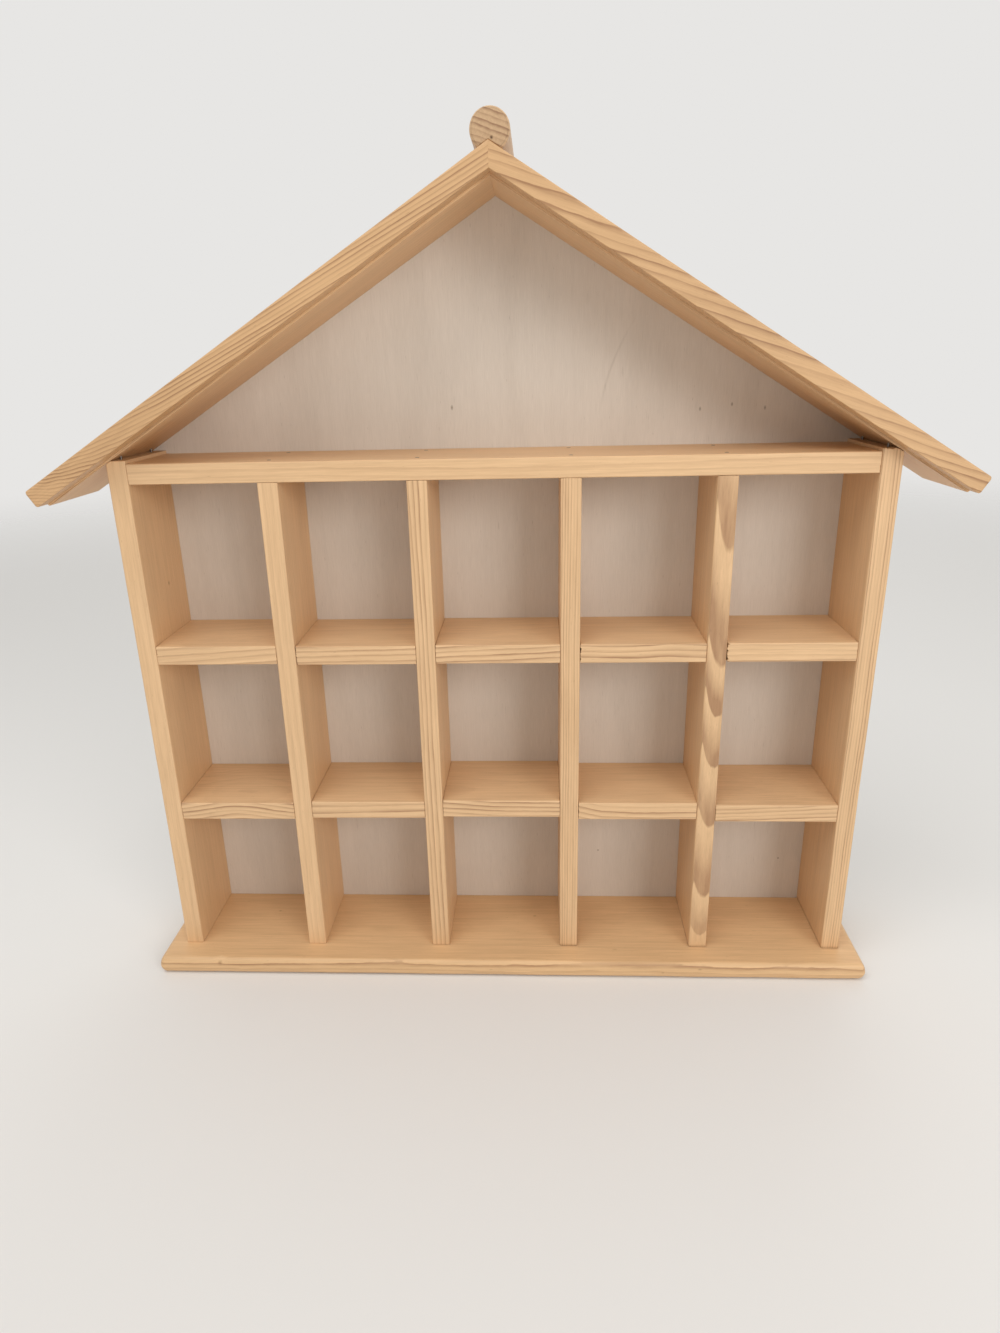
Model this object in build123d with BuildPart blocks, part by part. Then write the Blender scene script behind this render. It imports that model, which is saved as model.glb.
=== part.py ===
"""House-shaped wall shelf: a pine carcase of fifteen cells under a pitched roof.

Millimetres, +Z up, the viewer on the -Y side. The origin is the middle of the
bounding box on the plane that the base board stands on. Planed boards are
butted, glued and nailed; a plywood panel closes the back.
"""
import os
from math import cos, radians, sin, tan

from build123d import *

os.makedirs("parts", exist_ok=True)

# Board stock
board_thickness = 10.0
board_depth = 49.5
panel_thickness = 4.0
arris_radius = 0.5

# Cells: clear sizes, with the hand-made differences of each bay and shelf from left to right
bay_width = 63.6
outer_row_height = 83.0
middle_row_height = 80.5
bay_width_steps = (-0.5, -1.1, 0.3, 0.1, 1.2)
lower_shelf_steps = (-0.5, 0.4, 1.3, 0.0, -1.2)
upper_shelf_steps = (0.1, -0.3, -0.1, -0.1, 0.0)

# Base board
base_side_overhang = 10.5
base_front_overhang = 15.0
base_edge_radius = 3.0

# Roof
roof_pitch = 31.9
roof_slope_length = 266.0
bargeboard_thickness = 10.0
bargeboard_height = 9.0
eave_corner_radius = 1.2
upright_rise = 1.5
upright_bevel_width = 2.8

# Round pole on the ridge
pole_diameter = 17.0
pole_lift = 3.7
pole_side_shift = 0.8
pole_set_back = 1.0
pole_end_radius = 0.9

# Back panel
panel_roof_margin = 2.0
hanging_hole_diameter = 4.5
hanging_hole_drop = 4.2

# Nails: a brad for the boards, a flat-headed nail for the panel, a pin for trim
brad_diameter = 1.2
brad_length = 25.0
brad_head_diameter = 2.0
panel_nail_length = 16.0
panel_nail_head_diameter = 3.0
pin_diameter = 1.0
pin_length = 20.0
pole_brad_length = 20.0
head_thickness = 0.6
nail_clearance = 0.05
roof_brad_sinking = 2.0
pin_sinking = 1.5
upright_nail_depths = (0.15, 0.85)
level_nail_depths = (0.3, 0.7)
pin_positions = (0.2, 0.5, 0.78)
gable_nail_positions = (0.15, 0.4, 0.65)

# Places across the width: posts are the uprights and dividers, bays the columns between them
bay_widths = [bay_width + step for step in bay_width_steps]
body_width = sum(width + board_thickness for width in bay_widths) + board_thickness
body_side = body_width / 2
post_lefts = [-body_side]
for width in bay_widths:
    post_lefts.append(post_lefts[-1] + board_thickness + width)
post_centres = [left + board_thickness / 2 for left in post_lefts]
bay_lefts = [left + board_thickness for left in post_lefts[:-1]]
bay_centres = [left + width / 2 for left, width in zip(bay_lefts, bay_widths)]
sides = {"left": -1, "right": 1}

# Places in depth
front_reach = max(base_front_overhang, bargeboard_thickness)
back_face = (front_reach + board_depth + panel_thickness) / 2
panel_front = back_face - panel_thickness
carcase_front = panel_front - board_depth
bargeboard_front = carcase_front - bargeboard_thickness

# Places in height
base_top = board_thickness
lower_shelf_level = base_top + outer_row_height
upper_shelf_level = lower_shelf_level + board_thickness + middle_row_height
top_board_level = upper_shelf_level + board_thickness + outer_row_height
top_board_top = top_board_level + board_thickness
top_board_middle = top_board_level + board_thickness / 2
upright_top = top_board_top + upright_rise
shelf_rows = {
    "lower": (lower_shelf_level, lower_shelf_steps),
    "upper": (upper_shelf_level, upper_shelf_steps),
}
row_middles = (
    (base_top + lower_shelf_level) / 2,
    (lower_shelf_level + board_thickness + upper_shelf_level) / 2,
    (upper_shelf_level + board_thickness + top_board_level) / 2,
)

# Roof: its underside meets each upright at the inner edge of the upright's bevel
pitch = radians(roof_pitch)
ridge_underside = upright_top + (body_side - upright_bevel_width) * tan(pitch)
ridge_top = ridge_underside + board_thickness / cos(pitch)
along_slope = (cos(pitch), -sin(pitch))
out_of_slope = (sin(pitch), cos(pitch))


def on_slope(side, distance, depth_below):
    """Point of the roof on one side, by distance down the slope and depth below its top face."""
    across = distance * along_slope[0] - depth_below * out_of_slope[0]
    return side * across, ridge_top + distance * along_slope[1] - depth_below * out_of_slope[1]


def under_ridge(depth_below):
    """Height of the mitre line at the ridge, under a board of the given thickness."""
    return ridge_top - depth_below / cos(pitch)


def slope_profile(side, thickness):
    """Closed outline of a roof board: mitred at the ridge, cut square at the eave."""
    return [
        (0, ridge_top),
        on_slope(side, roof_slope_length, 0),
        on_slope(side, roof_slope_length, thickness),
        (0, under_ridge(thickness)),
    ]


def depth_at(share):
    """Place in depth, as a share of the board depth behind the carcase front."""
    return carcase_front + share * board_depth


def on_both_sides(places_on):
    """Places on the left and then on the right, from a function of the side."""
    return [place for side in sides.values() for place in places_on(side)]


def add_board(left, right, bottom, top, front=carcase_front, back=panel_front):
    """Straight board, given by its outer faces, in the part being built."""
    with Locations((left, front, bottom)):
        Box(right - left, back - front, top - bottom, align=(Align.MIN, Align.MIN, Align.MIN))


def ease_front(part, along):
    """Round the long front arrises of a board that runs along the given axis."""
    front_edges = part.edges().filter_by(along).group_by(Axis.Y)[0]
    fillet(front_edges, arris_radius)


def drive(places, diameter, length, head_diameter):
    """Nails with their heads at the given places, pointing along each place's local -Z."""
    seat = (Align.CENTER, Align.CENTER, Align.MAX)
    with Locations(*places):
        Cylinder(diameter / 2, length, align=seat)
        Cylinder(head_diameter / 2, head_thickness, align=seat)


def bore_for(places, diameter, length, head_diameter):
    """Holes that the same nails fill, with a running clearance all round."""
    seat = (Align.CENTER, Align.CENTER, Align.MAX)
    shank_radius = diameter / 2 + nail_clearance
    head_radius = head_diameter / 2 + nail_clearance
    with Locations(*places):
        Cylinder(shank_radius, length + nail_clearance, align=seat, mode=Mode.SUBTRACT)
        Cylinder(head_radius, head_thickness + nail_clearance, align=seat, mode=Mode.SUBTRACT)


def bore_brads(places):
    """Holes for the brads that join the boards."""
    bore_for(places, brad_diameter, brad_length, brad_head_diameter)


def bore_panel_nails(places):
    """Holes for the flat-headed nails that hold the back panel."""
    bore_for(places, brad_diameter, panel_nail_length, panel_nail_head_diameter)


def save(builder, name):
    """Label a finished piece and write its file."""
    builder.part.label = name
    export_step(builder.part, f"parts/{name}.step")


# Nail places: a position and the turn that points local -Z along the nail
upward = (180, 0, 0)
downward = (0, 0, 0)
leftward = (0, 90, 0)
rightward = (0, -90, 0)
forward = (-90, 0, 0)
backward = (90, 0, 0)

base_brads = [Location((x, depth_at(d), 0), upward) for x in post_centres for d in upright_nail_depths]
divider_brads = [
    Location((x, depth_at(d), top_board_top), downward)
    for x in post_centres[1:-1]
    for d in upright_nail_depths
]


def corner_brads(side):
    """Brads through an upright into the end of the top board."""
    turn = leftward if side > 0 else rightward
    return [Location((side * body_side, depth_at(d), top_board_middle), turn) for d in level_nail_depths]


def shelf_bottom(row, bay):
    """Height of the underside of one short shelf."""
    level, steps = shelf_rows[row]
    return level + steps[bay]


def shelf_brads_through(post):
    """Brads through one post into the shelf ends of the bay on its left, or on its right for the first."""
    first = post == 0
    bay = 0 if first else post - 1
    x = post_lefts[post] if first else post_lefts[post] + board_thickness
    turn = rightward if first else leftward
    return [
        Location((x, depth_at(d), shelf_bottom(row, bay) + board_thickness / 2), turn)
        for row in shelf_rows
        for d in level_nail_depths
    ]


def roof_brads(side):
    """Plumb brads through a roof board into the top end of its upright, sunk and filled over."""
    across = body_side - board_thickness / 2
    height = ridge_top - across * tan(pitch) - roof_brad_sinking
    return [Location((side * across, depth_at(d), height), downward) for d in upright_nail_depths]


def trim_pins(side):
    """Pins through a bargeboard into the front edge of its roof board, sunk and filled over."""
    places = []
    for share in pin_positions:
        x, z = on_slope(side, share * roof_slope_length, bargeboard_height / 2)
        places.append(Location((x, bargeboard_front + pin_sinking, z), backward))
    return places


def gable_nails(side):
    """Panel nails into the back edge of a roof board, over the width of the body."""
    places = []
    for share in gable_nail_positions:
        x, z = on_slope(side, share * roof_slope_length, (panel_roof_margin + board_thickness) / 2)
        places.append(Location((x, back_face, z), forward))
    return places


base_panel_nails = [Location((x, back_face, base_top / 2), forward) for x in bay_centres]
top_panel_nails = [Location((x, back_face, top_board_middle), forward) for x in bay_centres]
post_panel_nails = [Location((x, back_face, z), forward) for x in post_centres for z in row_middles]
panel_nails = base_panel_nails + top_panel_nails + post_panel_nails + on_both_sides(gable_nails)

pole_centre = ridge_top + pole_lift
pole_front = bargeboard_front + pole_set_back
pole_brads = [
    Location((pole_side_shift, depth_at(d), pole_centre + pole_diameter / 2 - head_thickness), downward)
    for d in level_nail_depths
]

# Base board: wider than the body, reaching forward as a ledge, its free edges rounded
base_side = body_side + base_side_overhang
with BuildPart() as base_board:
    add_board(-base_side, base_side, 0, base_top, front=carcase_front - base_front_overhang)
    ends = base_board.faces().filter_by(Axis.X)
    front = base_board.faces().sort_by(Axis.Y)[0]
    rounded = (ends.edges() + front.edges()).filter_by(Axis.Z, reverse=True)
    rounded = rounded.filter_by(lambda edge: edge.center().Y < panel_front - arris_radius)
    fillet(rounded, base_edge_radius)
    bore_brads(base_brads)
    bore_panel_nails(base_panel_nails)
save(base_board, "base_board")

# Uprights: full height, their outer top corner bevelled to the slope that rests on it
roof_beyond = 2 * body_side
for name, side in sides.items():
    post = 0 if side < 0 else len(bay_widths)
    with BuildPart() as upright:
        add_board(post_lefts[post], post_lefts[post] + board_thickness, base_top, upright_top)
        ease_front(upright, Axis.Z)
        with BuildSketch(Plane.XZ.offset(-carcase_front)):
            with BuildLine():
                Polyline(
                    (0, ridge_underside),
                    (side * roof_beyond, ridge_underside - roof_beyond * tan(pitch)),
                    (side * roof_beyond, ridge_underside),
                    close=True,
                )
            make_face()
        extrude(amount=-board_depth, mode=Mode.SUBTRACT)
        bore_brads(base_brads)
        bore_brads(corner_brads(side))
        bore_brads(roof_brads(side))
        bore_brads(shelf_brads_through(post))
        bore_panel_nails(post_panel_nails)
    save(upright, f"{name}_upright")

# Top board: between the uprights, over the dividers
with BuildPart() as top_board:
    add_board(bay_lefts[0], post_lefts[-1], top_board_level, top_board_top)
    ease_front(top_board, Axis.X)
    bore_brads(divider_brads)
    bore_brads(on_both_sides(corner_brads))
    bore_panel_nails(top_panel_nails)
save(top_board, "top_board")

# Dividers: from the base to the top board
for post in range(1, len(bay_widths)):
    with BuildPart() as divider:
        add_board(post_lefts[post], post_lefts[post] + board_thickness, base_top, top_board_level)
        ease_front(divider, Axis.Z)
        bore_brads(base_brads)
        bore_brads(divider_brads)
        bore_brads(shelf_brads_through(post))
        bore_panel_nails(post_panel_nails)
    save(divider, f"divider_{post}")

# Short shelves: one to each bay and row, butted between the boards beside it
for row in shelf_rows:
    for bay, width in enumerate(bay_widths):
        bottom = shelf_bottom(row, bay)
        with BuildPart() as shelf:
            add_board(bay_lefts[bay], bay_lefts[bay] + width, bottom, bottom + board_thickness)
            ease_front(shelf, Axis.X)
            bore_brads(shelf_brads_through(bay + 1))
            if bay == 0:
                bore_brads(shelf_brads_through(0))
        save(shelf, f"{row}_shelf_{bay + 1}")

# Roof boards: as deep as the carcase, mitred together at the ridge
for name, side in sides.items():
    with BuildPart() as roof_board:
        with BuildSketch(Plane.XZ.offset(-carcase_front)):
            with BuildLine():
                Polyline(*slope_profile(side, board_thickness), close=True)
            make_face()
        extrude(amount=-board_depth)
        eave = roof_board.faces().sort_by(Axis.X)[-1 if side > 0 else 0]
        fillet(eave.edges().filter_by(Axis.Y), eave_corner_radius)
        bore_brads(roof_brads(side))
        bore_for(trim_pins(side), pin_diameter, pin_length, pin_diameter)
        bore_for(pole_brads, brad_diameter, pole_brad_length, brad_head_diameter)
        bore_panel_nails(gable_nails(side))
    save(roof_board, f"roof_board_{name}")

# Bargeboards: strips along the front edge of the roof boards, proud of the carcase
for name, side in sides.items():
    with BuildPart() as bargeboard:
        with BuildSketch(Plane.XZ.offset(-bargeboard_front)):
            with BuildLine():
                Polyline(*slope_profile(side, bargeboard_height), close=True)
            make_face()
        extrude(amount=-bargeboard_thickness)
        eave = bargeboard.faces().sort_by(Axis.X)[-1 if side > 0 else 0]
        fillet(eave.edges().filter_by(Axis.Y), eave_corner_radius)
        bore_for(trim_pins(side), pin_diameter, pin_length, pin_diameter)
    save(bargeboard, f"bargeboard_{name}")

# Ridge pole: a round pole with a vee cut along it, seated on the mitred ridge
pole_length = back_face - pole_front
vee_reach = pole_diameter
vee_floor = ridge_top - vee_reach - pole_diameter
with BuildPart() as ridge_pole:
    with BuildSketch(Plane.XZ.offset(-pole_front)):
        with Locations((pole_side_shift, pole_centre)):
            Circle(pole_diameter / 2)
    extrude(amount=-pole_length)
    fillet(ridge_pole.edges().filter_by(GeomType.CIRCLE), pole_end_radius)
    with BuildSketch(Plane.XZ.offset(-pole_front)):
        with BuildLine():
            Polyline(
                (0, ridge_top),
                (vee_reach, ridge_top - vee_reach * tan(pitch)),
                (vee_reach, vee_floor),
                (-vee_reach, vee_floor),
                (-vee_reach, ridge_top - vee_reach * tan(pitch)),
                close=True,
            )
        make_face()
    extrude(amount=-pole_length, mode=Mode.SUBTRACT)
    bore_for(pole_brads, brad_diameter, pole_brad_length, brad_head_diameter)
save(ridge_pole, "ridge_pole")

# Back panel: one house-shaped sheet of plywood over the back of every board
panel_eave = ridge_top - body_side * tan(pitch) - panel_roof_margin / cos(pitch)
hanging_height = top_board_level - hanging_hole_drop
with BuildPart() as back_panel:
    with BuildSketch(Plane.XZ.offset(-panel_front)):
        with BuildLine():
            Polyline(
                (-body_side, 0),
                (body_side, 0),
                (body_side, panel_eave),
                (0, under_ridge(panel_roof_margin)),
                (-body_side, panel_eave),
                close=True,
            )
        make_face()
        with Locations((bay_centres[0], hanging_height), (bay_centres[-1], hanging_height)):
            Circle(hanging_hole_diameter / 2, mode=Mode.SUBTRACT)
    extrude(amount=-panel_thickness)
    bore_panel_nails(panel_nails)
save(back_panel, "back_panel")

# Nails, each kind of joint as one group of separate nails
with BuildPart() as base_brad_group:
    drive(base_brads, brad_diameter, brad_length, brad_head_diameter)
save(base_brad_group, "base_brads")

with BuildPart() as top_board_brad_group:
    drive(divider_brads + on_both_sides(corner_brads), brad_diameter, brad_length, brad_head_diameter)
save(top_board_brad_group, "top_board_brads")

with BuildPart() as shelf_brad_group:
    for post in range(len(post_lefts)):
        drive(shelf_brads_through(post), brad_diameter, brad_length, brad_head_diameter)
save(shelf_brad_group, "shelf_brads")

with BuildPart() as roof_brad_group:
    drive(on_both_sides(roof_brads), brad_diameter, brad_length, brad_head_diameter)
save(roof_brad_group, "roof_brads")

with BuildPart() as trim_pin_group:
    drive(on_both_sides(trim_pins), pin_diameter, pin_length, pin_diameter)
save(trim_pin_group, "bargeboard_pins")

with BuildPart() as pole_brad_group:
    drive(pole_brads, brad_diameter, pole_brad_length, brad_head_diameter)
save(pole_brad_group, "ridge_pole_brads")

with BuildPart() as panel_nail_group:
    drive(panel_nails, brad_diameter, panel_nail_length, panel_nail_head_diameter)
save(panel_nail_group, "panel_nails")
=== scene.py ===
from math import cos, exp, pi, radians, sin, tan

import bpy
import numpy as np
from mathutils import Matrix, Vector


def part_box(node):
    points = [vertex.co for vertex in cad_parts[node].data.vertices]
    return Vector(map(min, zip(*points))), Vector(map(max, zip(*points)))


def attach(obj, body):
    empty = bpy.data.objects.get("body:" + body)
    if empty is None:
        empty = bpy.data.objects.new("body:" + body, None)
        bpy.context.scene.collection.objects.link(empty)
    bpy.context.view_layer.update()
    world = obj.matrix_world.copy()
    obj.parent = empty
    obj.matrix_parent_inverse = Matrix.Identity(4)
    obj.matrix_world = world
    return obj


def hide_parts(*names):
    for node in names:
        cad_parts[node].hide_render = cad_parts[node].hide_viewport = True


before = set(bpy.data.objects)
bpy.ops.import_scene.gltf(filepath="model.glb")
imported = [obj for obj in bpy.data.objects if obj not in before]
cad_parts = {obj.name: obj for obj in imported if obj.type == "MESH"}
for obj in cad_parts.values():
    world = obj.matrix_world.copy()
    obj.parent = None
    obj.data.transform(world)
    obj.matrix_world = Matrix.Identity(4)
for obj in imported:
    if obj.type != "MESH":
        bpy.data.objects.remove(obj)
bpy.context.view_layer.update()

# Base board: one length of planed pine, wider and deeper than the case that stands on it.
# Its front and end edges are rounded over and the case is glued to it and nailed from below.
mm = 0.001
case_front, case_back = (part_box("left_upright")[end].y / mm for end in (0, 1))


def sway(along, reach, chance, wavelength=70.0):
    """Slow unevenness of a planed face, from 0 to reach: the mean of three sine waves along the board."""
    shortest, longest, how_many = 0.6, 1.7, 3
    waves = wavelength * chance.uniform(shortest, longest, (how_many, 1))
    phases = chance.uniform(0, 2 * pi, (how_many, 1))
    return reach * (0.5 + 0.5 * np.sin(2 * pi * along / waves + phases).mean(0))


def make_piece(name, points, faces, finish, closed=True):
    """Object from points in millimetres, its faces turned outwards where it is a closed shell.

    A shell is inside out where the sum of area * (normal . centre) over its faces is negative. Each
    corner's normal is the mean of its faces' normals by their areas.
    """
    mesh = bpy.data.meshes.new(name)
    mesh.from_pydata((points.reshape(-1, 3) * mm).tolist(), [], faces)
    count = len(mesh.polygons)
    area, normal, centre = np.empty(count), np.empty(count * 3), np.empty(count * 3)
    mesh.polygons.foreach_get("area", area)
    mesh.polygons.foreach_get("normal", normal)
    mesh.polygons.foreach_get("center", centre)
    if closed and (area * (normal * centre).reshape(-1, 3).sum(1)).sum() < 0:
        mesh.flip_normals()
        mesh.polygons.foreach_get("normal", normal)
    corners, sizes = np.empty(len(mesh.loops), int), np.empty(count, int)
    mesh.loops.foreach_get("vertex_index", corners)
    mesh.polygons.foreach_get("loop_total", sizes)
    shares = np.repeat(area[:, None] * normal.reshape(-1, 3), sizes, axis=0)
    turned = np.zeros((len(mesh.vertices), 3))
    np.add.at(turned, corners, shares)
    turned /= np.linalg.norm(turned, axis=1)[:, None]
    mesh.shade_smooth()
    mesh.normals_split_custom_set_from_vertices(turned.tolist())
    mesh.materials.append(finish)
    piece = bpy.data.objects.new(name, mesh)
    bpy.context.scene.collection.objects.link(piece)
    return piece


def planed_board(
    place, start, end, across, through, arris, seed, dents=(), ragged=(0, 0),
    ends=((0.35, 0.35), (0.35, 0.35)), uneven=0.07,
):
    """Points and faces of a planed board: a rectangle with quarter-round corners, carried along the grain.

    Each corner of the outline is its centre + its radius * (cos, sin) over a quarter turn, and straight runs
    join the corners. Along the grain the four faces draw in by their slow sway, and at each end by the end's
    own quarter round, given as its radius through the board and across it. start and end are functions of
    (across, through), so an end can be a mitre or a bevel. Each dent widens one corner's radius by a bell
    curve, and ragged teeth of random depth fade out from the front. No radius passes half the thickness left
    between the faces, so the end's rounding and a corner's can meet. A ladder of faces closes both ends.
    """
    step_length, round_points, edge_points, side_points, most_of_half = 5, 6, 6, 20, 0.46
    tooth_count, tooth_depth, sway_reach = 24, 5, 45.0
    chance = np.random.default_rng(seed)
    near, far = start(across[0], through[0]), end(across[0], through[0])
    quarter = np.linspace(0, pi / 2, round_points)
    steps = int(abs(far - near) / step_length)
    middle = np.linspace(0, 1, steps + 2)[1:-1]
    share = np.concatenate([np.zeros(round_points), middle, np.ones(round_points)])[:, None]
    straight = np.zeros(steps)
    step_in = 1 - np.cos(quarter)
    shift = np.concatenate([ends[0][0] * step_in, straight, -ends[1][0] * step_in[::-1]])[:, None]
    inset = 1 - np.sin(quarter)
    thinned, narrowed = (
        np.concatenate([ends[0][way] * inset, straight, ends[1][way] * inset[::-1]]) for way in (0, 1))
    along = near + share[:, 0] * (far - near) + shift[:, 0]
    limits = {
        (0, -1): across[0] + narrowed + sway(along, uneven, chance),
        (0, 1): across[1] - narrowed,
        (1, -1): through[0] + thinned + sway(along, uneven, chance),
        (1, 1): through[1] - thinned - sway(along, uneven, chance),
    }
    arcs_across, arcs_through = [], []
    for corner, (b_side, c_side) in enumerate(((-1, -1), (1, -1), (1, 1), (-1, 1))):
        radius = arris[corner] * (0.9 + sway(along, 0.2, chance, sway_reach))
        for at, which, depth, reach in dents:
            radius = radius + (which == corner) * depth * np.exp(-(((along - at) / reach) ** 2))
        radius = np.minimum(radius, most_of_half * (limits[1, 1] - limits[1, -1]))
        angle = pi + corner * pi / 2 + quarter
        arcs_across.append((limits[0, b_side] - b_side * radius)[:, None] + radius[:, None] * np.cos(angle))
        arcs_through.append((limits[1, c_side] - c_side * radius)[:, None] + radius[:, None] * np.sin(angle))
    outline, run_points = [], (edge_points, side_points, edge_points, side_points)
    for arcs in (arcs_across, arcs_through):
        runs = []
        for corner, count in enumerate(run_points):
            first, last = arcs[corner][:, -1:], arcs[(corner + 1) % 4][:, :1]
            runs += [arcs[corner], first + (last - first) * np.linspace(0, 1, count + 2)[1:-1]]
        outline.append(np.concatenate(runs, axis=1))
    b, c = outline
    tooth_places = np.linspace(through[0], through[1], tooth_count)
    teeth = [np.interp(c, tooth_places, chance.uniform(0, 1, tooth_count) ** 2) for _ in ragged]
    front_only = np.clip(1 - (b - across[0]) / tooth_depth, 0, 1)
    first_end = start(b, c) + ragged[0] * teeth[0] * front_only
    last_end = end(b, c) - ragged[1] * teeth[1] * front_only
    points = place(first_end + share * (last_end - first_end) + shift, b, c)
    rings, around = b.shape
    grid = np.arange(rings * around).reshape(rings, around)
    ahead = np.roll(grid, -1, axis=1)
    faces = np.stack([grid[:-1], ahead[:-1], ahead[1:], grid[1:]], -1).reshape(-1, 4).tolist()
    counts = [count for run in run_points for count in (round_points, run)]
    low_front, low_run, low_back, back_run, top_back, top_run, top_front, front_run = np.split(
        np.arange(around), np.cumsum(counts)[:-1])
    front_chain = np.concatenate([low_front[::-1], front_run[::-1], top_front[::-1]])
    back_chain = np.concatenate([low_back, back_run, top_back])
    for ring, order in ((grid[0], -1), (grid[-1], 1)):
        front, back = ring[front_chain], ring[back_chain]
        rungs = np.stack([front[1:-2], back[1:-2], back[2:-1], front[2:-1]], -1)
        faces += rungs[:, ::order].tolist()
        lowest = [front[1], front[0], *ring[low_run], back[0], back[1]]
        highest = [back[-2], back[-1], *ring[top_run], front[-1], front[-2]]
        faces += [[int(i) for i in cap[::order]] for cap in (lowest, highest)]
    return points, faces


class Tone:
    """A value that varies over a surface; arithmetic on it adds Math nodes to its finish."""

    def __init__(self, finish, socket):
        self.finish, self.socket = finish, socket

    def math(self, operation, *others):
        """One Math node of the given operation, with this value first unless others say otherwise."""
        values = others if len(others) > 1 else (self, *others)
        return self.finish.node("ShaderNodeMath", {"operation": operation}, dict(enumerate(values)))

    def __add__(self, other):
        return self.math("ADD", self, other)

    def __sub__(self, other):
        return self.math("SUBTRACT", self, other)

    def __rsub__(self, other):
        return self.math("SUBTRACT", other, self)

    def __mul__(self, other):
        return self.math("MULTIPLY", self, other)

    def __truediv__(self, other):
        return self.math("DIVIDE", self, other)

    def __pow__(self, other):
        return self.math("POWER", self, other)

    __radd__, __rmul__ = __add__, __mul__

    def held(self):
        """The value kept between 0 and 1."""
        return self.finish.node("ShaderNodeClamp", {}, {0: self})


class Finish:
    """A material, or the world, under construction, with one way to add any node."""

    def __init__(self, name, kept_in=bpy.data.materials):
        self.material = kept_in.new(name)
        self.material.use_nodes = True
        self.tree = self.material.node_tree
        self.shader = self.tree.nodes.get("Principled BSDF")

    def node(self, kind, settings, sockets, result=0):
        """A node of the given kind: its settings and ramp stops first, then its sockets' values or links."""
        made = self.tree.nodes.new(kind)
        for setting, value in settings.items():
            if setting == "stops":
                ramp = made.color_ramp
                while len(ramp.elements) < len(value):
                    ramp.elements.new(1)
                for element, (position, level) in zip(ramp.elements, value):
                    element.position = position
                    element.color = (level, level, level, 1)
            elif setting == "interpolation":
                made.color_ramp.interpolation = value
            else:
                setattr(made, setting, value)
        for socket, value in sockets.items():
            self.feed(made.inputs[socket], value)
        return Tone(self, made.outputs[result])

    def feed(self, socket, value):
        """Link a varying value to a socket, or set a constant on it."""
        if isinstance(value, Tone):
            self.tree.links.new(value.socket, socket)
        else:
            socket.default_value = value

    def here(self, result="Object"):
        """Object coordinates, in metres, or the surface's own normal."""
        return self.node("ShaderNodeTexCoord", {}, {}, result)

    def vector(self, operation, first, second, result=0):
        """Arithmetic on places and directions."""
        return self.node("ShaderNodeVectorMath", {"operation": operation}, {0: first, 1: second}, result)

    def grain_noise(self, place, cell, seed, detail=2.0, roughness=0.5):
        """Smooth noise with cells of three given sizes in mm, moved to a place of its own by the seed."""
        scale = tuple(1 / size for size in cell)
        start = tuple(seed * far for far in (3.71, 5.93, 2.39))
        placed = {0: place, 1: scale, 2: start}
        scaled = self.node("ShaderNodeVectorMath", {"operation": "MULTIPLY_ADD"}, placed)
        sockets = {"Vector": scaled, "Scale": 1.0, "Detail": detail, "Roughness": roughness}
        return self.node("ShaderNodeTexNoise", {}, sockets)

    def ramp(self, value, stops, interpolation="LINEAR"):
        """A value read off a curve given by its stops."""
        return self.node("ShaderNodeValToRGB", {"stops": stops, "interpolation": interpolation}, {0: value})

    def mix(self, share, first, second, blend="MIX"):
        """Two colours mixed, or multiplied, by a share."""
        settings = {"data_type": "RGBA", "blend_type": blend}
        return self.node("ShaderNodeMix", settings, {0: share, 6: first, 7: second}, 2)

    def shaded(self, colour, shade, warmth=0.12):
        """A colour made lighter or darker by a value near 1, its green and blue more than its red."""
        levels = {0: shade, 1: shade ** (1 + warmth), 2: shade ** (1 + 2.2 * warmth)}
        return self.mix(1.0, colour, self.node("ShaderNodeCombineXYZ", {}, levels), "MULTIPLY")

    def part_of(self, place, axis):
        """One coordinate of a place: 0, 1 or 2 for x, y or z."""
        return self.node("ShaderNodeSeparateXYZ", {}, {0: place}, axis)

    def spot(self, place, middle, reach):
        """One at the middle of an ellipsoid of the given reaches, fading to nought at its surface."""
        away = self.vector("DIVIDE", self.vector("SUBTRACT", place, middle), reach)
        return (1 - self.vector("LENGTH", away, (0, 0, 0), 1)).held()


early_pine, late_pine = (0.725, 0.475, 0.26), (0.42, 0.235, 0.12)
drift_cell, tremor_cell, patch_cell = (22, 22, 150), (4, 4, 22), (4, 4, 35)
fibre_cell, streak_cell = (0.32, 0.32, 12), (1.3, 1.3, 45)
broad_cell, duct_cell = (26, 26, 90), (0.35, 0.35, 4)
drift_reach, tremor_reach = 6, 1.6
duct_share, quiet_share, end_grain_from = 0.74, 0.88, 0.75
satin, wood_gloss, relief_depth = 0.47, 0.42, 0.06


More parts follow.
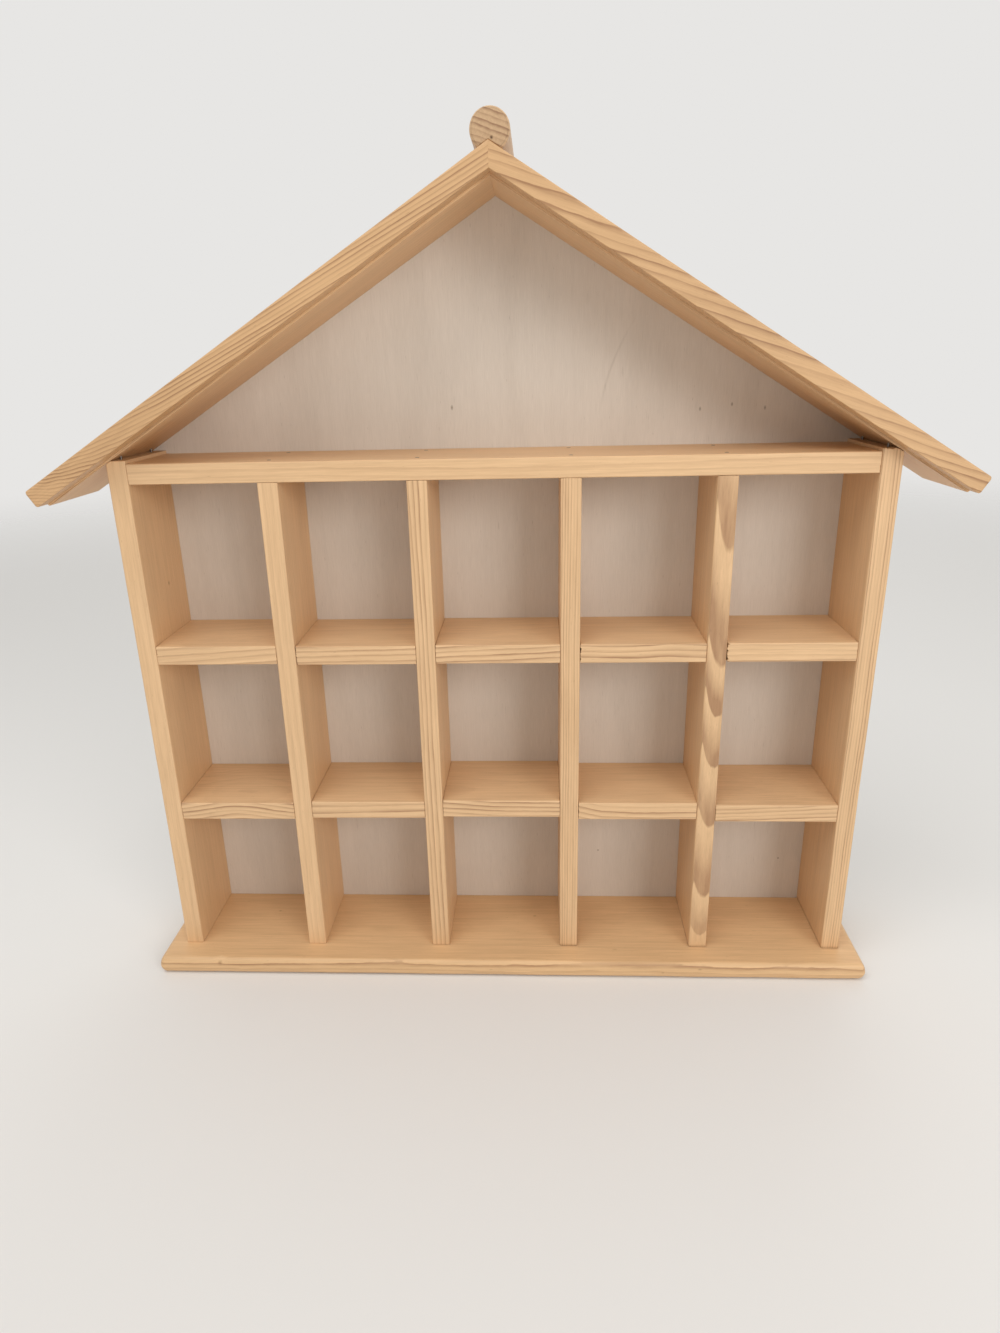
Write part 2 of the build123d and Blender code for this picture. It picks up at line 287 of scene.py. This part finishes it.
def pine(
    name, grain, pith, ring, seed, figure=1.0, late_share=0.3, wander=1.0, course=None, years=(),
    quiet=(0, 0, 1), tone=(1, 1, 1), marks=(), stain_foot=0.0,
):
    """Planed pine: rings of late wood round a pith line, darkening slowly outwards and ending sharply.

    The place is measured in mm from a point on the pith, with z along the grain. Ring number = (distance from
    the pith + slow wander + the course of a bend along the board) / ring width, or is read off the listed
    radii of the years, and its fraction is read off the late-wood curve. The figure is fainter on the quiet
    faces, which are cut along the rings. Fibres, resin ducts and broad tone are noise drawn out along the
    grain, and a stain may fade upwards from a board's foot.
    """
    finish = Finish(name)
    whole = finish.here()
    turn = Vector(grain).to_track_quat("Z", "Y").to_euler()
    sockets = {"Vector": whole, "Location": [v * mm for v in pith], "Rotation": turn, "Scale": (mm, mm, mm)}
    tree = finish.node("ShaderNodeMapping", {"vector_type": "TEXTURE"}, sockets)
    drift = finish.grain_noise(tree, drift_cell, seed, 1.0) - 0.5
    tremor = finish.grain_noise(tree, tremor_cell, seed + 3, 3.0, 0.6) - 0.5
    across_grain = finish.vector("MULTIPLY", tree, (1, 1, 0))
    from_pith = finish.vector("LENGTH", across_grain, (0, 0, 0), 1)
    distance = from_pith + (drift * drift_reach + tremor * tremor_reach) * wander
    if course:
        low, high, bends = course
        depth = max(abs(offset) for _, offset in bends)
        stops = [(at, 0.5 + 0.5 * offset / depth) for at, offset in bends]
        run = ((finish.part_of(tree, 2) - low) / (high - low)).held()
        distance = distance + (finish.ramp(run, stops, "CARDINAL") - 0.5) * (2 * depth)
    rings = distance / ring
    if years:
        stops = [(0, 0)] + [(radius / years[-1], year / len(years)) for year, radius in enumerate(years, 1)]
        rings = finish.ramp(distance / years[-1], stops) * len(years)
    which_year = {"W": rings.math("FLOOR") + seed * 7.3}
    year = finish.node("ShaderNodeTexWhiteNoise", {"noise_dimensions": "1D"}, which_year)
    begins = 1 - late_share
    curve = (
        (0, 0), (max(begins - 0.3, 0.05), 0.05), (begins, 0.5), (0.5 + begins / 2, 0.95), (0.95, 1), (1, 0))
    late = finish.ramp(rings.math("FRACT"), curve)
    patchy = finish.grain_noise(tree, patch_cell, seed + 5)
    facing_quiet = finish.vector("DOT_PRODUCT", finish.here("Normal"), Vector(quiet).normalized(), 1)
    late = late * (0.3 + 0.7 * year) * (0.15 + 1.9 * patchy)
    late = (late * (1 - quiet_share * facing_quiet * facing_quiet) * figure).held()
    fibre = finish.grain_noise(tree, fibre_cell, seed + 1, 3.0, 0.65) - 0.5
    streak = finish.grain_noise(tree, streak_cell, seed + 2, 3.0, 0.6) - 0.5
    broad = finish.grain_noise(tree, broad_cell, seed + 4, 2.0) - 0.5
    ducts = ((finish.grain_noise(tree, duct_cell, seed + 6, 1.0) - duct_share) * 14).held()
    facing = finish.vector("DOT_PRODUCT", finish.here("Normal"), Vector(grain).normalized(), 1)
    end_grain = ((facing.math("ABSOLUTE") - end_grain_from) * 5).held()
    early_here, late_here = (
        (*(level * share for level, share in zip(wood, tone)), 1) for wood in (early_pine, late_pine))
    colour = finish.mix(late, early_here, late_here)
    shade = 1 + fibre * 0.28 + streak * 0.3 + broad * 0.22 - ducts * 0.3 - end_grain * 0.16
    place = finish.vector("DIVIDE", whole, (mm, mm, mm))
    for middle, reach, strength in marks:
        shade = shade - finish.spot(place, middle, reach) * strength
    if stain_foot:
        shade = shade - (1 - (finish.part_of(place, 2) - foot_level) / stain_foot).held() * 0.35
    finish.feed(finish.shader.inputs["Base Color"], finish.shaded(colour, shade))
    finish.feed(finish.shader.inputs["Roughness"], satin + fibre * 0.2 - late * 0.06 + end_grain * 0.2)
    relief = late * 0.12 + fibre * 1.3 - ducts * 0.6 + streak * 0.3
    raised = {"Strength": 0.6, "Distance": relief_depth * mm, "Height": relief}
    finish.feed(finish.shader.inputs["Normal"], finish.node("ShaderNodeBump", {}, raised))
    finish.shader.inputs["Specular IOR Level"].default_value = wood_gloss
    return finish.material


def fit(piece, node):
    """Put a piece in place of its CAD node."""
    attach(piece, "root")
    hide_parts(node)


def along_x(along, across, through):
    """Grain along the width of the shelf: across is depth and through is height."""
    return np.stack([along, across, through], -1)


def level(value):
    """A square end: the same place along the grain all over it."""
    return lambda across, through: value + 0 * across


def limits_of(node):
    """Lowest and highest x, y and z of a CAD node, in mm."""
    low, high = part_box(node)
    return [(low[axis] / mm, high[axis] / mm) for axis in range(3)]


(base_left, base_right), (base_front, _), (base_bottom, base_top) = limits_of("base_board")
foot_level = base_top
edge_round, sharp, head_clear = 3.0, 0.3, 0.06
nicks = (
    (-164.3, 3, 2.0, 1.6), (-162.0, 0, 1.0, 2.0), (108.5, 3, 1.2, 1.2), (88, 0, 0.8, 1.5), (-60, 3, 0.5, 2.5))
points, faces = planed_board(
    along_x, level(base_left), level(base_right), (base_front, case_back),
    (base_bottom + head_clear, base_top), (edge_round, sharp, sharp, edge_round), 11, nicks,
    ends=((edge_round, 0.9), (edge_round, 0.9)))
flecks = (
    ((-164.3, -34, 7.4), (1.6, 1.5, 2.2), 0.3), ((108.5, -34, 6.5), (1.5, 1, 0.8), 0.35),
    ((88, -34, 4), (1.2, 1, 0.7), 0.3), ((-142, 12, 10), (1.2, 0.9, 1), 0.35),
    ((16, 9, 10), (1.4, 0.8, 1), 0.35), ((62, -22, 10), (2.0, 0.7, 1), 0.2))
wood = pine(
    "pine_base", (1, 0.012, 0.012), (0, 8, -40), 2.9, 11, 0.95,
    course=(-200, 200, ((0.0, 0.6), (0.5, -0.5), (1.0, 0.9))), tone=(1.0, 0.985, 0.94), marks=flecks)
fit(make_piece("base", points, faces, wood), "base_board")

# Uprights: two full-height pine boards that stand on the base, glued and nailed from below.
# Their outer top corners are planed to the roof's slope, and their front arrises are eased.
roof_pitch = radians(31.9)
bevel_width = 2.8
stain_height = 2.0


def upright_stand(along, across, through):
    """Grain upright: across is depth and through is width."""
    return np.stack([through, across, along], -1)


for side, name, lean, pith, ring, figure, arris in (
    (-1, "left", (0.004, 0.01, 1), (-262, 10, 140), 3.3, 0.2, (0.9, 0.5)),
    (1, "right", (0.006, 0.0, 1), (120, -6, 140), 1.45, 0.8, (0.8, 0.45)),
):
    (left, right), _, (foot, top) = limits_of(f"{name}_upright")
    outer = max(abs(left), abs(right))

    def bevelled(across, through):
        """The top end: level, then falling with the roof over the bevel's width at the outer side."""
        return top - np.maximum(np.abs(through) - (outer - bevel_width), 0) * tan(roof_pitch)

    inset = (left + head_clear, right) if side < 0 else (left, right - head_clear)
    points, faces = planed_board(
        upright_stand, level(foot), bevelled, (case_front, case_back), inset,
        (arris[0], sharp, sharp, arris[1]), 21 + side, ragged=(0.1, 0.7 if side > 0 else 0.15))
    marks = (((-179, 8.65, 220.6), (1, 1.2, 1.5), 0.5),) if side < 0 else ()
    wood = pine(
        f"pine_{name}_upright", lean, pith, ring, 21 + side, figure, wander=0.6, quiet=(1, 0, 0),
        marks=marks, stain_foot=stain_height if side > 0 else 0)
    fit(make_piece(f"upright_{name}", points, faces, wood), f"{name}_upright")

# Dividers: four pine boards between the base and the top board, nailed from below and above.
# The fourth was cut where the grain runs out at its face, so its front shows a row of tongues.
tongue_years = (
    4, 9, 13.4, 17.7, 21.5, 23.1, 24.9, 27.2, 29.9, 31.5, 34, 36.6, 39, 41.8, 44, 46.6, 49, 52, 55, 58)
dividers = (
    (1, (0.003, 0.008, 1), (-180, 4, 140), 3.1, 0.2, 0.3, 0.8, ()),
    (2, (-0.006, 0.0, 1), (-96, -14, 140), 2.4, 0.8, 0.3, 0.6, ()),
    (3, (0.003, 0.0, 1), (-30, -12, 140), 1.4, 0.7, 0.35, 0.5, ()),
    (4, (0.005, -0.063, 1), (111.8, 4.8, 138), 2.9, 1.15, 0.5, 0.16, tongue_years),
)
for number, lean, pith, ring, figure, late_share, wander, years in dividers:
    (left, right), _, (foot, top) = limits_of(f"divider_{number}")
    points, faces = planed_board(
        upright_stand, level(foot), level(top), (case_front, case_back), (left, right),
        (0.9 if years else 0.5, sharp, sharp, 0.5), 30 + number, ragged=(0.15, 0.15))
    wood = pine(
        f"pine_divider_{number}", lean, pith, ring, 30 + number, figure, late_share, wander, years=years,
        quiet=(1, 0, 0), stain_foot=stain_height if number > 2 else 0)
    fit(make_piece(f"divider_board_{number}", points, faces, wood), f"divider_{number}")

# Short shelves: ten pieces of the same pine strip, sawn to the width of each bay and butted
# between the boards beside it with nails into their end grain. The saw left their ends ragged.
shelves = (
    ("upper", 1, 0.065, -1, 38, 3.0, 0.85, (0.5, 0.2), None),
    ("upper", 2, 0.004, -1, 60, 2.8, 1.1, (0.9, 0.2), None),
    ("upper", 3, 0.052, -1, 50, 2.7, 1.1, (0.5, 0.2), None),
    ("upper", 4, 0.0, 1, 44, 3.2, 0.9, (1.1, 0.2), ((0.0, 0.3), (0.4, -0.4), (0.7, 0.4), (1.0, -0.2))),
    ("upper", 5, 0.01, -1, 70, 2.5, 0.6, (1.4, 0.3), None),
    ("lower", 1, 0.0, -1, 30, 2.4, 1.2, (0.4, 0.2), ((0.0, 2.6), (0.5, -1.8), (1.0, 1.6))),
    ("lower", 2, 0.006, 1, 52, 4.2, 0.95, (0.5, 0.2), None),
    ("lower", 3, 0.0, -1, 48, 2.6, 1.0, (0.4, 0.3), ((0.0, -1.4), (0.45, 0.5), (1.0, 0.6))),
    ("lower", 4, 0.0, -1, 58, 3.0, 0.9, (0.4, 0.3), ((0.0, -2.4), (0.2, 0.2), (1.0, 0.4))),
    ("lower", 5, 0.045, 1, 40, 2.1, 0.85, (0.4, 0.2), None),
)
for index, (row, bay, rise, pith_side, pith_away, ring, figure, ragged, bends) in enumerate(shelves):
    (left, right), _, (bottom, top) = limits_of(f"{row}_shelf_{bay}")
    points, faces = planed_board(
        along_x, level(left), level(right), (case_front, case_back), (bottom, top),
        (0.5, sharp, sharp, 0.6), 40 + index, ragged=ragged)
    half = (right - left) / 2
    pith = ((left + right) / 2, case_front + 12, (bottom + top) / 2 + pith_side * pith_away)
    wood = pine(
        f"pine_{row}_shelf_{bay}", (1, 0.01, rise), pith, ring, 40 + index, figure, wander=0.9,
        course=(-half, half, bends) if bends else None)
    fit(make_piece(f"{row}_row_shelf_{bay}", points, faces, wood), f"{row}_shelf_{bay}")

# Top board: one length of the same strip between the uprights, the floor of the loft.
# It lies on the dividers, nailed down into them and through the uprights into its ends.
(left, right), _, (bottom, top) = limits_of("top_board")
points, faces = planed_board(
    along_x, level(left), level(right), (case_front, case_back), (bottom, top - head_clear),
    (0.5, sharp, sharp, 0.6), 51, ragged=(0.2, 0.3))
wood = pine("pine_top_board", (1, 0.0, 0.004), (0, 10, 230), 3.2, 51, 0.3)
fit(make_piece("loft_floor", points, faces, wood), "top_board")

# Roof boards: two pine boards as deep as the case, mitred together at the ridge and glued.
# Brads go down through them into the uprights; their heads are sunk and filled over.
upright_top, case_side = limits_of("left_upright")[2][1], limits_of("right_upright")[0][1]
roof_under = upright_top + (case_side - bevel_width) * tan(roof_pitch)
roof_thickness = 10.0
slope_length = 266.0
ridge_height = roof_under + roof_thickness / cos(roof_pitch)
eave_round = 1.2


def down_slope(side):
    """Place by distance down the slope, depth in y, and height out of the roof's top face."""
    def place(along, across, through):
        out = side * (along * cos(roof_pitch) + through * sin(roof_pitch))
        return np.stack([out, across, ridge_height - along * sin(roof_pitch) + through * cos(roof_pitch)], -1)
    return place


def mitre(across, through):
    """The plane of the ridge, where the place along the slope = - height out of the face * tan(pitch)."""
    return -through * tan(roof_pitch) + 0 * across


def slope_grain(side, turn=0.0, out=0.0):
    """Direction down one slope, turned in the slope's own upright plane and towards the viewer."""
    return (side * cos(roof_pitch + turn), out, -sin(roof_pitch + turn))


def under_apex(side, depth, turn=0.0):
    """A point on the pith, square below the grain through the apex at the given depth."""
    return (-side * depth * sin(roof_pitch + turn), case_front, ridge_height - depth * cos(roof_pitch + turn))


for side, name in ((-1, "left"), (1, "right")):
    points, faces = planed_board(
        down_slope(side), mitre, level(slope_length), (case_front, case_back), (-roof_thickness, 0),
        (0.15, sharp, 0.4, 0.15), 60 + side, ends=((0.05, 0.05), (eave_round, 0.3)))
    wood = pine(
        f"pine_roof_{name}", slope_grain(side, 0.008, 0.012), under_apex(side, 52), 2.8, 60 + side, 0.8,
        quiet=(side * sin(roof_pitch), 0, cos(roof_pitch)), tone=(0.98, 0.97, 0.95))
    fit(make_piece(f"roof_{name}", points, faces, wood), f"roof_board_{name}")

# Bargeboards: thinner pine strips along the front of the roof, mitred at the apex.
# They are glued and pinned to the roof boards' front edges, flush on top and a step short below.
strip_front = limits_of("bargeboard_left")[1][0]
strip_height = 9.0
curl, curl_reach, pith_depth = 21.0, 35.0, 90
stations = (0.0, 0.45, 0.6, 0.7, 0.8, 0.86, 0.92, 0.96, 1.0)
curling = tuple((share, -curl * exp((share - 1) * slope_length / curl_reach)) for share in stations)
for side, name, turn, ring, late_share, wander, bends in (
    (-1, "left", -0.07, 1.7, 0.3, 0.55, curling),
    (1, "right", -0.227, 4.0, 0.22, 1.3, None),
):
    points, faces = planed_board(
        down_slope(side), mitre, level(slope_length), (strip_front, case_front - 0.05), (-strip_height, 0),
        (0.4, 0.2, 0.3, 0.8), 70 + side, ((0, 3, 0.9, 2.5),), ends=((0.04, 0.04), (eave_round, 0.5)))
    wood = pine(
        f"pine_bargeboard_{name}", slope_grain(side, turn), under_apex(side, pith_depth, turn), ring,
        70 + side, 1.05, late_share, wander, course=(0, slope_length, bends) if bends else None,
        quiet=(side * sin(roof_pitch), 0, cos(roof_pitch)), tone=(0.87, 0.82, 0.75))
    fit(make_piece(f"strip_{name}", points, faces, wood), f"bargeboard_{name}")

# Ridge pole: a short length of round softwood pole with a vee cut along its underside.
# It sits over the mitred ridge, glued and nailed down, its front end sawn and sanded.
(pole_left, pole_right), (pole_front, pole_back), (_, pole_top) = limits_of("ridge_pole")
pole_radius = (pole_right - pole_left) / 2
pole_x = (pole_left + pole_right) / 2
pole_z = pole_top - pole_radius
pole_end_round = 0.9


def notched_pole():
    """Points and faces of the pole: a circle less the vee, carried from front to back.

    Angles run round the circle between the two places where it meets the roof's slopes, and the two
    straight sides of the vee close the outline. Both ends draw in over a quarter round and close with
    rings that shrink towards the hub, a point just above the pole's centre.
    """
    def meets(side):
        """Angle where the circle meets one slope, from the line's distance to the circle's centre."""
        slope = side * -tan(roof_pitch)
        gap = pole_z - (ridge_height + slope * pole_x)
        a, b, c = 1 + slope ** 2, -2 * slope * gap, gap ** 2 - pole_radius ** 2
        run = (-b + side * np.sqrt(b * b - 4 * a * c)) / (2 * a)
        return np.arctan2(slope * run - gap, run)
    first, last = meets(1), meets(-1) % (2 * pi)
    angle = np.linspace(first, last, 73)
    chance = np.random.default_rng(81)
    radial = 1 - sway(angle * 20, 0.006, chance, 40.0)
    ring_x, ring_z = pole_radius * radial * np.cos(angle), pole_radius * radial * np.sin(angle)
    left_x, left_z = ring_x[-1], ring_z[-1]
    apex_x, apex_z = -pole_x, ridge_height - pole_z
    legs = np.linspace(0, 1, 8)[1:]
    vee_x = np.concatenate([left_x + (apex_x - left_x) * legs, apex_x + (ring_x[0] - apex_x) * legs[:-1]])
    vee_z = np.concatenate([left_z + (apex_z - left_z) * legs, apex_z + (ring_z[0] - apex_z) * legs[:-1]])
    outline_x, outline_z = np.concatenate([ring_x, vee_x]), np.concatenate([ring_z, vee_z])
    quarter = np.linspace(0, pi / 2, 7)
    closing = np.array([0.02, 0.15, 0.35, 0.55, 0.75, 0.9])
    end_scale = np.concatenate([closing, 1 - pole_end_round / pole_radius * (1 - np.sin(quarter))])
    end_shift = np.concatenate([np.zeros(len(closing)), pole_end_round * (1 - np.cos(quarter))])
    middle = np.linspace(0, 1, 14)[1:-1]
    scale = np.concatenate([end_scale, np.ones(len(middle)), end_scale[::-1]])[:, None]
    length = pole_back - pole_front
    depth = [pole_front + end_shift, pole_front + middle * length, (pole_back - end_shift)[::-1]]
    depth = np.concatenate(depth)
    hub = 1.0
    x = pole_x + outline_x * scale
    z = pole_z + hub + (outline_z - hub) * scale
    points = np.stack([x, depth[:, None] + 0 * x, z], -1)
    rings, around = x.shape
    grid = np.arange(rings * around).reshape(rings, around)
    ahead = np.roll(grid, -1, axis=1)
    faces = np.stack([grid[:-1], ahead[:-1], ahead[1:], grid[1:]], -1).reshape(-1, 4).tolist()
    return points, faces + [grid[0][::-1].tolist(), grid[-1].tolist()]


points, faces = notched_pole()
wood = pine(
    "pole_wood", (0.01, 1, 0.02), (-26, 0, 330), 2.1, 81, 1.1, 0.35, 0.5, quiet=(1, 0, 0),
    tone=(0.86, 0.88, 0.93), marks=(((1.5, pole_front, 416.3), (0.9, 1, 0.9), 0.8),))
fit(make_piece("pole_on_ridge", points, faces, wood), "ridge_pole")

# Back panel: one house-shaped sheet of thin plywood, nailed over the back of every board.
# Its face veneer runs upright and is sanded bare; the edges show two pale plies and a core.
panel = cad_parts["back_panel"]
panel_front, panel_back = limits_of("back_panel")[1]
finish = Finish("plywood_sheet")
place = finish.vector("DIVIDE", finish.here(), (mm, mm, mm))
waves = finish.grain_noise(place, (30, 30, 120), 90, 2.0) - 0.5
figure = (finish.part_of(place, 0) / 9 + waves * 9).math("SINE") * 0.5 + 0.5
fibre = finish.grain_noise(place, (0.35, 0.35, 9), 91, 3.0, 0.65) - 0.5
streak = finish.grain_noise(place, (2.2, 2.2, 60), 92, 3.0) - 0.5
cloud = finish.grain_noise(place, (45, 45, 70), 93, 2.0) - 0.5
flecks = ((finish.grain_noise(place, (0.5, 0.5, 4.5), 94, 1.0) - 0.74) * 16).held()
shade = 1 + fibre * 0.22 + streak * 0.07 + cloud * 0.14 - figure ** 3 * 0.04 - flecks * 0.25
torn = ((finish.grain_noise(place, (0.9, 0.9, 11), 95, 2.0) - 0.66) * 9).held() * ((cloud + 0.1) * 6).held()
shade = shade - torn * 0.16
join_x, join_z, join_width, join_length = 57, 325, 0.9, 24
above = finish.part_of(place, 2) - join_z
curve_x = join_x + above * 0.36 + above * above * 0.006
veneer_join = (1 - ((finish.part_of(place, 0) - curve_x) / join_width).math("ABSOLUTE")).held()
join_reach = (1 - ((above - 1) / join_length).math("ABSOLUTE")).held()
shade = shade - veneer_join * join_reach * 0.14
specks = (
    (-24.8, 307, 0.8, 1.6), (102.9, 304, 0.7, 1.4), (119, 306, 0.7, 1.3),
    (135.8, 304, 0.7, 1.4), (165.3, 38.2, 0.8, 0.8), (55.2, 43.2, 0.8, 0.8))
for across, height, half_width, half_height in specks:
    dark = finish.spot(place, (across, panel_front, height), (half_width, 2, half_height))
    shade = shade - dark * 0.6
pale_veneer, core_ply = (0.685, 0.615, 0.535, 1), (0.36, 0.24, 0.14, 1)
colour = finish.shaded(pale_veneer, shade, 0.08)
depth = (finish.part_of(place, 1) - (panel_front + panel_back) / 2).math("ABSOLUTE")
facing = finish.part_of(finish.here("Normal"), 1).math("ABSOLUTE")
core = ((0.9 - depth) * 8).held() * ((0.7 - facing) * 5).held()
finish.feed(finish.shader.inputs["Base Color"], finish.mix(core * 0.75, colour, core_ply))
finish.feed(finish.shader.inputs["Roughness"], 0.56 + fibre * 0.15)
relief = fibre * 1.2 + streak * 0.5 - flecks
raised = {"Strength": 0.5, "Distance": 0.05 * mm, "Height": relief}
finish.feed(finish.shader.inputs["Normal"], finish.node("ShaderNodeBump", {}, raised))
finish.shader.inputs["Specular IOR Level"].default_value = 0.35
panel.data.materials.clear()
panel.data.materials.append(finish.material)

# Nails: bright steel brads, pins and flat-headed panel nails, driven flush with the wood.
# Their steel is painted a mottled dark brown grey, a painted shade that keeps the brads in the gap under the
# roof as dark as the shade there.
steel_deep_painted_shade, steel_light_painted_shade = (0.17, 0.14, 0.12, 1), (0.33, 0.30, 0.265, 1)
nail_groups = (
    "base_brads", "top_board_brads", "shelf_brads", "roof_brads", "bargeboard_pins", "ridge_pole_brads",
    "panel_nails")
finish = Finish("painted_shade_steel")
place = finish.vector("DIVIDE", finish.here(), (mm, mm, mm))
mottle = finish.grain_noise(place, (0.5, 0.5, 0.5), 95, 3.0)
# Painted shade: both steel colours are kept dark so that no brad shines where it sits in shade.
finish.feed(finish.shader.inputs["Base Color"], finish.mix(mottle, steel_deep_painted_shade, steel_light_painted_shade))
finish.feed(finish.shader.inputs["Roughness"], 0.34 + mottle * 0.25)
finish.shader.inputs["Metallic"].default_value = 1.0
for node in nail_groups:
    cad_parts[node].data.materials.clear()
    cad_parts[node].data.materials.append(finish.material)

# Room: a plain pale floor that fades into a pale backdrop, under soft studio lamps.
# The camera stands where the photograph was taken, looking slightly down.
# The floor is a disc: place = radius * (cos, sin) of the turn, a hair below the base.
floor_reach, floor_fade, floor_level = 2.6, 0.9, -0.0002
turns, outs = np.meshgrid(np.linspace(0, 2 * pi, 97)[:-1], np.linspace(0.01, floor_reach, 12))
points = np.stack([outs * np.cos(turns), outs * np.sin(turns), floor_level + 0 * outs], -1) / mm
grid = np.arange(points.shape[0] * points.shape[1]).reshape(points.shape[:2])
ahead = np.roll(grid, -1, axis=1)
faces = np.stack([grid[:-1], grid[1:], ahead[1:], ahead[:-1]], -1).reshape(-1, 4).tolist()
faces += [grid[0].tolist()]
finish = Finish("pale_floor")
floor_colour = (0.80, 0.79, 0.77)
finish.shader.inputs["Base Color"].default_value = (*floor_colour, 1)
finish.shader.inputs["Roughness"].default_value = 0.8
away = finish.vector("LENGTH", finish.here(), (0, 0, 0), 1)
fade = ((away - floor_fade) / (floor_reach - floor_fade - 0.1)).held()
solid = Tone(finish, finish.shader.outputs[0])
clear = finish.node("ShaderNodeBsdfTransparent", {}, {})
surface = finish.node("ShaderNodeMixShader", {}, {0: fade * fade * (3 - 2 * fade), 1: solid, 2: clear})
finish.feed(finish.tree.nodes["Material Output"].inputs["Surface"], surface)
floor = make_piece("floor", points, faces, finish.material, closed=False)

sky = Finish("studio", bpy.data.worlds)
bpy.context.scene.world = sky.material
backdrop = sky.node("ShaderNodeBackground", {}, {"Color": (0.80, 0.79, 0.775, 1), "Strength": 1.0})
soft_light = sky.node("ShaderNodeBackground", {}, {"Color": (1.0, 0.985, 0.96, 1), "Strength": 0.62})
seen, mirrored, through_glass = (
    sky.node("ShaderNodeLightPath", {}, {}, kind)
    for kind in ("Is Camera Ray", "Is Glossy Ray", "Is Transmission Ray"))
shown = seen.math("MAXIMUM", mirrored).math("MAXIMUM", through_glass)
surface = sky.node("ShaderNodeMixShader", {}, {0: shown, 1: soft_light, 2: backdrop})
sky.feed(sky.tree.nodes["World Output"].inputs["Surface"], surface)

lit_middle = Vector((0, 0, 0.2))
for name, at, size, power in (
    ("key", (0.85, -1.25, 0.75), 0.7, 8.0),
    ("top", (-0.35, -0.55, 1.35), 0.8, 6.0),
    ("back", (0.3, 1.3, 1.2), 1.0, 3.0),
):
    lamp = bpy.data.lights.new(name, "AREA")
    lamp.size = size
    lamp.energy = power
    lamp_object = bpy.data.objects.new(name, lamp)
    lamp_object.location = at
    lamp_object.rotation_euler = (lit_middle - Vector(at)).to_track_quat("-Z", "Y").to_euler()
    bpy.context.scene.collection.objects.link(lamp_object)

photo_height, focal_pixels = 1333, 862.15
camera_place = Vector((0.02074, -0.43492, 0.33102))
down, aside, roll = -0.34417, -0.05071, -0.02262
ahead_of = Vector((sin(aside) * cos(down), cos(aside) * cos(down), sin(down)))
level_right = Vector((cos(aside), -sin(aside), 0))
level_up = level_right.cross(ahead_of)
right_of = level_right * cos(roll) + level_up * sin(roll)
up_of = level_up * cos(roll) - level_right * sin(roll)
camera = bpy.data.cameras.new("camera")
camera.sensor_width = 36.0
camera.lens = camera.sensor_width * focal_pixels / photo_height
camera.clip_start = 0.01
camera_object = bpy.data.objects.new("camera", camera)
turned = Matrix((right_of, up_of, -ahead_of)).transposed().to_4x4()
camera_object.matrix_world = Matrix.Translation(camera_place) @ turned
bpy.context.scene.collection.objects.link(camera_object)
bpy.context.scene.camera = camera_object
bpy.context.scene.view_settings.view_transform = "Standard"
